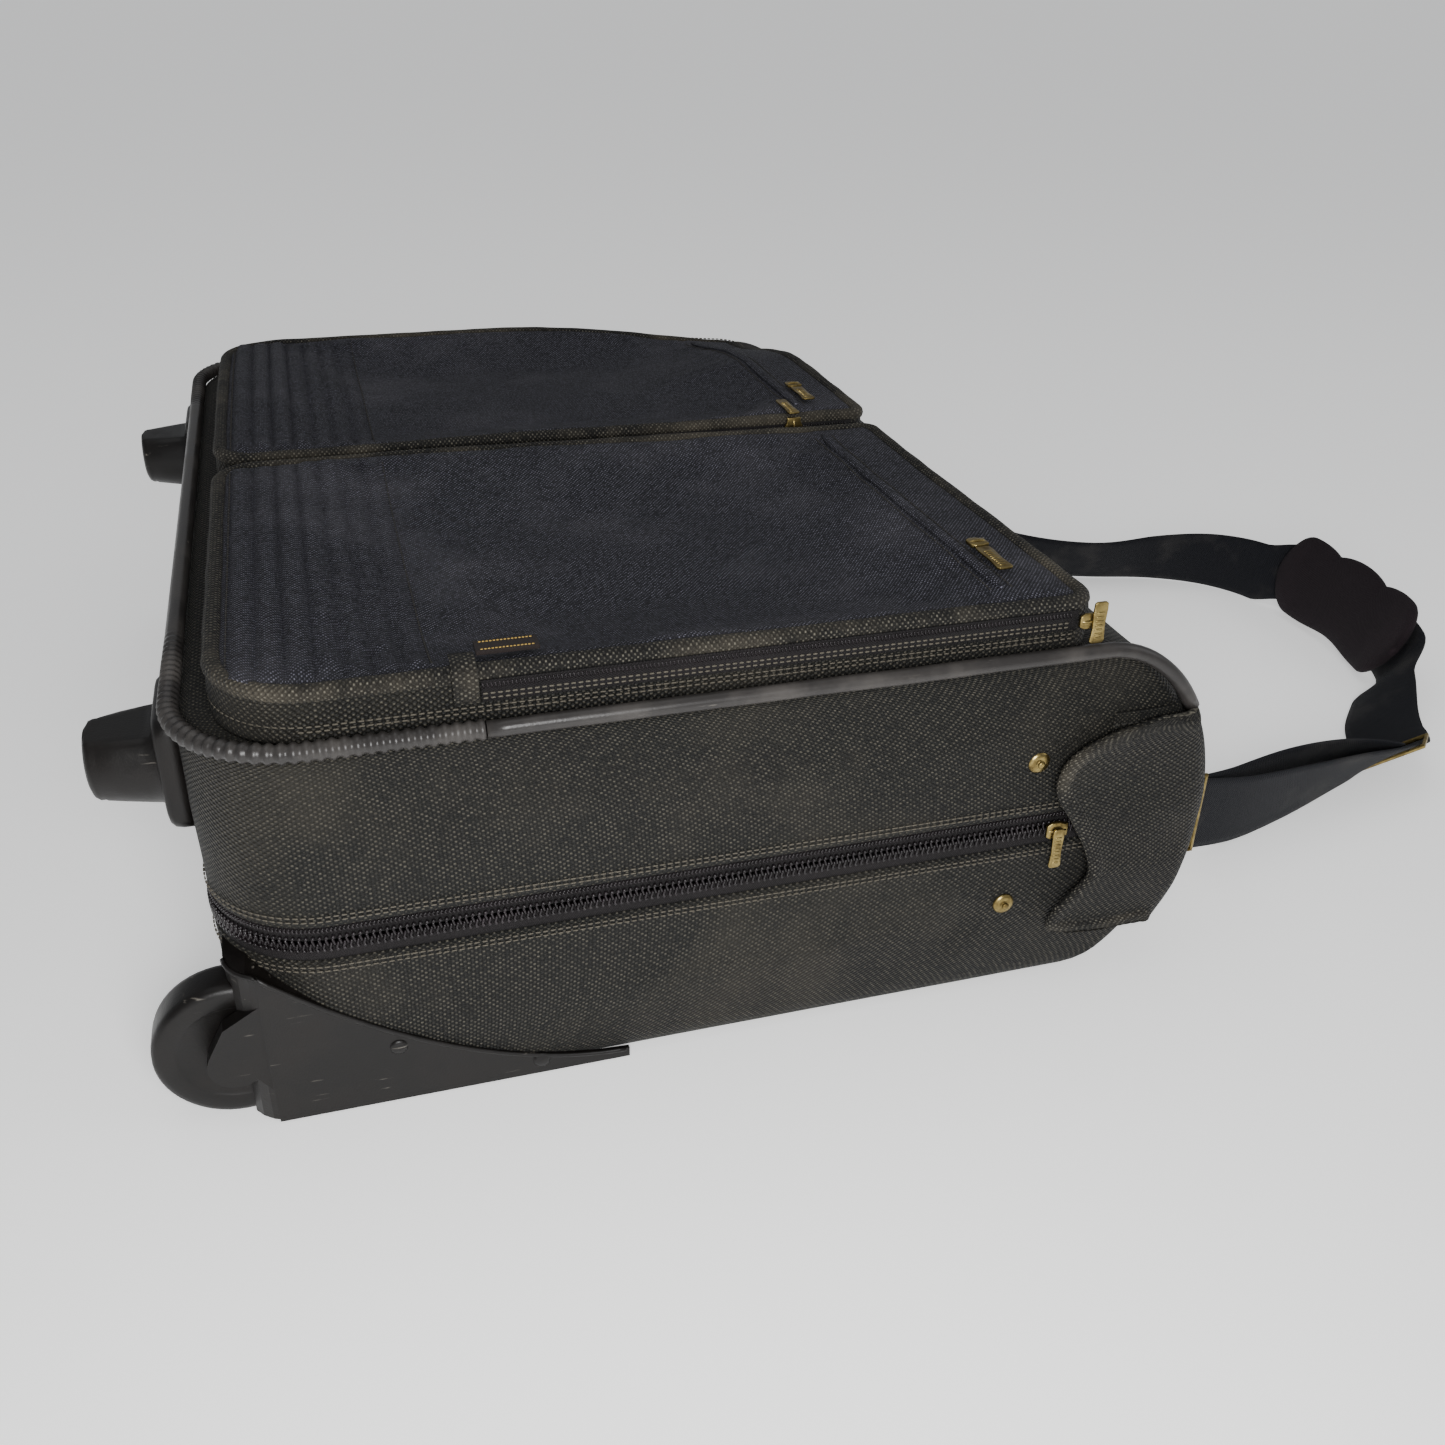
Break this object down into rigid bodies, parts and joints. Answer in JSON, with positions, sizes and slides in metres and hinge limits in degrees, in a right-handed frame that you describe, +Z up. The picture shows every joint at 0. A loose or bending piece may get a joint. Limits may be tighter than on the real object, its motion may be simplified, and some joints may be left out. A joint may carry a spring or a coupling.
{
  "type": "wheeled soft garment case",
  "caption": "Soft folding wheeled case that opens along its fold, with front pockets, telescoping handle, corner wheels, feet and a clip-on shoulder strap.",
  "frame": {"origin": "middle of the back face, on the floor it lies on", "axes": "+X from the wheeled bottom end to the fold end, -Y the right side, +Z up through the front face"},
  "size_m": [0.9165, 0.639, 0.2326],
  "materials": {
    "body_cloth": "coarse ballistic nylon, dark olive black, dusty",
    "panel_cloth": "ballistic nylon, dark navy black, rubbed and dusty",
    "vinyl": "vinyl covered piping, satin, rubbed",
    "zip_coil": "nylon coil on woven tape",
    "moulded_plastic": "moulded, satin, scuffed",
    "brass_plate": "brass plated, worn",
    "steel": "plated tube",
    "webbing": "ribbed polyester webbing",
    "pad_cloth": "moulded foam pad, brushed cloth",
    "board": "extruded board",
    "label": "woven label, blank"
  },
  "bodies": {
    "back_half": {"back_board": "board", "back_shell": "body_cloth", "back_zip": "zip_coil", "fold_cover_back": "body_cloth", "handle_bezel": "moulded_plastic", "left_axle": "steel", "left_handle_sleeve": "steel", "left_lower_stud": "brass_plate", "left_ring_tab": "webbing", "left_snap_hook": "brass_plate", "left_strap_ring": "brass_plate", "left_wheel_housing": "moulded_plastic", "right_axle": "steel", "right_handle_sleeve": "steel", "right_lower_stud": "brass_plate", "right_ring_tab": "webbing", "right_snap_hook": "brass_plate", "right_strap_ring": "brass_plate", "right_wheel_housing": "moulded_plastic", "strap_adjuster": "brass_plate", "strap_end": "webbing", "strap_long_end": "webbing", "strap_pad": "pad_cloth", "strap_webbing": "webbing"},
    "front_half": {"front_shell": "body_cloth", "front_zip": "zip_coil", "fold_cover_front": "body_cloth", "right_piping": "vinyl", "left_piping": "vinyl", "bottom_guard": "vinyl", "right_foot": "moulded_plastic", "left_foot": "moulded_plastic", "right_pocket": "panel_cloth", "left_pocket": "panel_cloth", "right_pocket_zip": "zip_coil", "left_pocket_zip": "zip_coil", "right_cross_seam": "panel_cloth", "left_cross_seam": "panel_cloth", "right_upper_stud": "brass_plate", "left_upper_stud": "brass_plate", "label_patch": "label"},
    "right_wheel": {"right_wheel": "moulded_plastic"},
    "left_wheel": {"left_wheel": "moulded_plastic"},
    "handle": {"handle_grip": "moulded_plastic", "right_handle_tube": "steel", "left_handle_tube": "steel"},
    "release_button": {"release_button": "moulded_plastic"},
    "right_flap": {"right_side_flap": "body_cloth"},
    "left_flap": {"left_side_flap": "body_cloth"},
    "main_slider": {"main_slider": "brass_plate"},
    "main_pull": {"main_pull": "brass_plate"},
    "right_pocket_slider": {"right_pocket_slider": "brass_plate"},
    "right_pocket_pull": {"right_pocket_pull": "brass_plate"},
    "left_pocket_slider": {"left_pocket_slider": "brass_plate"},
    "left_pocket_pull": {"left_pocket_pull": "brass_plate"},
    "right_cross_slider": {"right_cross_slider": "brass_plate"},
    "right_cross_pull": {"right_cross_pull": "brass_plate"},
    "left_cross_slider": {"left_cross_slider": "brass_plate"},
    "left_cross_pull": {"left_cross_pull": "brass_plate"}
  },
  "joints": [
    {"name": "fold_hinge", "type": "hinge", "parent": "back_half", "child": "front_half", "pos_m": [0.253, 0, 0.1], "axis": [0, 1, 0], "range_deg": [0, 90]},
    {"name": "right_wheel_spin", "type": "hinge", "parent": "back_half", "child": "right_wheel", "pos_m": [-0.247, -0.2895, 0.038], "axis": [0, 1, 0], "continuous": true},
    {"name": "left_wheel_spin", "type": "hinge", "parent": "back_half", "child": "left_wheel", "pos_m": [-0.247, 0.2895, 0.038], "axis": [0, 1, 0], "continuous": true},
    {"name": "handle_slide", "type": "slide", "parent": "back_half", "child": "handle", "axis": [1, 0, 0], "range_m": [0, 0.28]},
    {"name": "button_press", "type": "slide", "parent": "handle", "child": "release_button", "axis": [-1, 0, 0], "range_m": [0, 0.003], "stiffness_N_per_m": 400},
    {"name": "right_flap_hinge", "type": "hinge", "parent": "back_half", "child": "right_flap", "pos_m": [0.236, -0.3185, 0.1], "axis": [0, 0, 1], "range_deg": [0, 110]},
    {"name": "left_flap_hinge", "type": "hinge", "parent": "back_half", "child": "left_flap", "pos_m": [0.236, 0.3185, 0.1], "axis": [0, 0, -1], "range_deg": [0, 110]},
    {"name": "main_zip_slide", "type": "slide", "parent": "back_half", "child": "main_slider", "axis": [-1, 0, 0], "range_m": [0, 0.34]},
    {"name": "main_pull_swing", "type": "hinge", "parent": "main_slider", "child": "main_pull", "pos_m": [0.168, -0.3156, 0.1015], "axis": [-1, 0, 0], "range_deg": [0, 120]},
    {"name": "right_pocket_zip_slide", "type": "slide", "parent": "front_half", "child": "right_pocket_slider", "axis": [-1, 0, 0], "range_m": [0, 0.26]},
    {"name": "right_pocket_pull_swing", "type": "hinge", "parent": "right_pocket_slider", "child": "right_pocket_pull", "pos_m": [0.1745, -0.31045, 0.2273], "axis": [-1, 0, 0], "range_deg": [0, 120]},
    {"name": "left_pocket_zip_slide", "type": "slide", "parent": "front_half", "child": "left_pocket_slider", "axis": [-1, 0, 0], "range_m": [0, 0.22]},
    {"name": "left_pocket_pull_swing", "type": "hinge", "parent": "left_pocket_slider", "child": "left_pocket_pull", "pos_m": [0.125, -0.0029, 0.23035], "axis": [1, 0, 0], "range_deg": [0, 170]},
    {"name": "right_cross_zip_slide", "type": "slide", "parent": "front_half", "child": "right_cross_slider", "axis": [0, 1, 0], "range_m": [0, 0.18]},
    {"name": "right_cross_pull_swing", "type": "hinge", "parent": "right_cross_slider", "child": "right_cross_pull", "pos_m": [0.1442, -0.2426, 0.23095], "axis": [-1, 0, 0], "range_deg": [0, 100]},
    {"name": "left_cross_zip_slide", "type": "slide", "parent": "front_half", "child": "left_cross_slider", "axis": [0, 1, 0], "range_m": [0, 0.2]},
    {"name": "left_cross_pull_swing", "type": "hinge", "parent": "left_cross_slider", "child": "left_cross_pull", "pos_m": [0.1442, 0.0484, 0.23095], "axis": [-1, 0, 0], "range_deg": [0, 100]}
  ]
}
